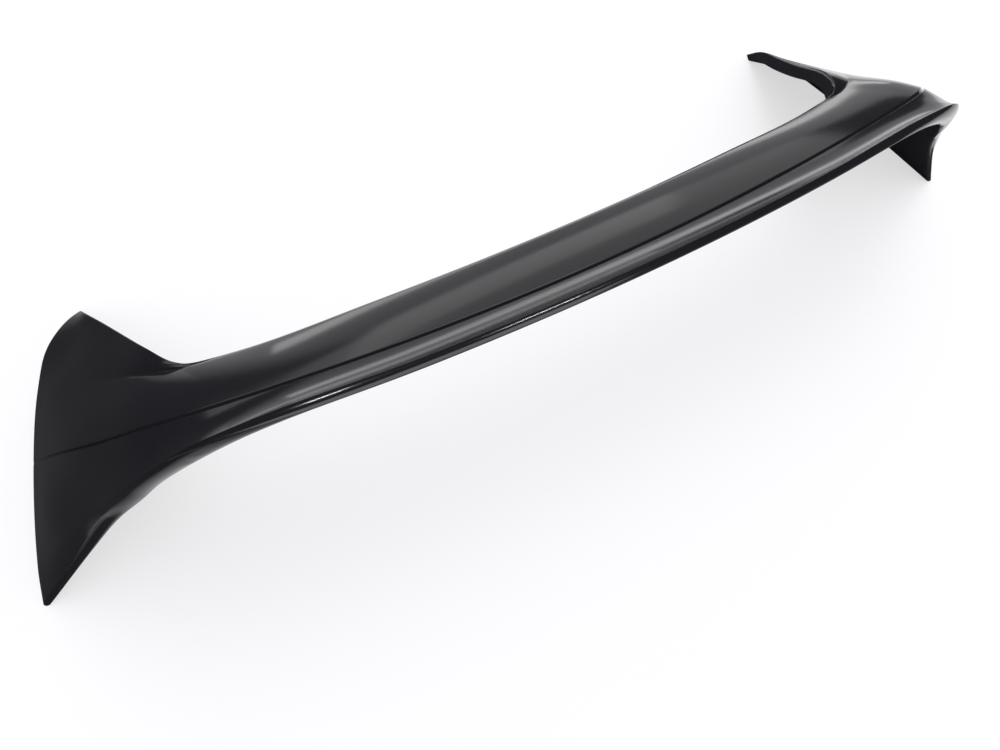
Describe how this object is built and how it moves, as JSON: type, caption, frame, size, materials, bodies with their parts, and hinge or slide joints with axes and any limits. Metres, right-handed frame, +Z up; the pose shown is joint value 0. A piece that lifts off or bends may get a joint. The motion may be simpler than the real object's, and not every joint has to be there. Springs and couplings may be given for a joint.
{
  "type": "car rear spoiler",
  "caption": "Roof-edge car rear spoiler with a swept blade, a ducktail lip, a styling groove and two side fins, each with a forward arm and a rear leg.",
  "frame": {"origin": "on the floor, under the middle of the part's box", "axes": "+X across the car along the blade, +Y to the front of the car, +Z up from the floor the part stands on"},
  "size_m": [1.201, 0.3116, 0.2663],
  "materials": {
    "body": "gloss"
  },
  "bodies": {
    "root": {"spoiler_body": "body"}
  },
  "joints": []
}
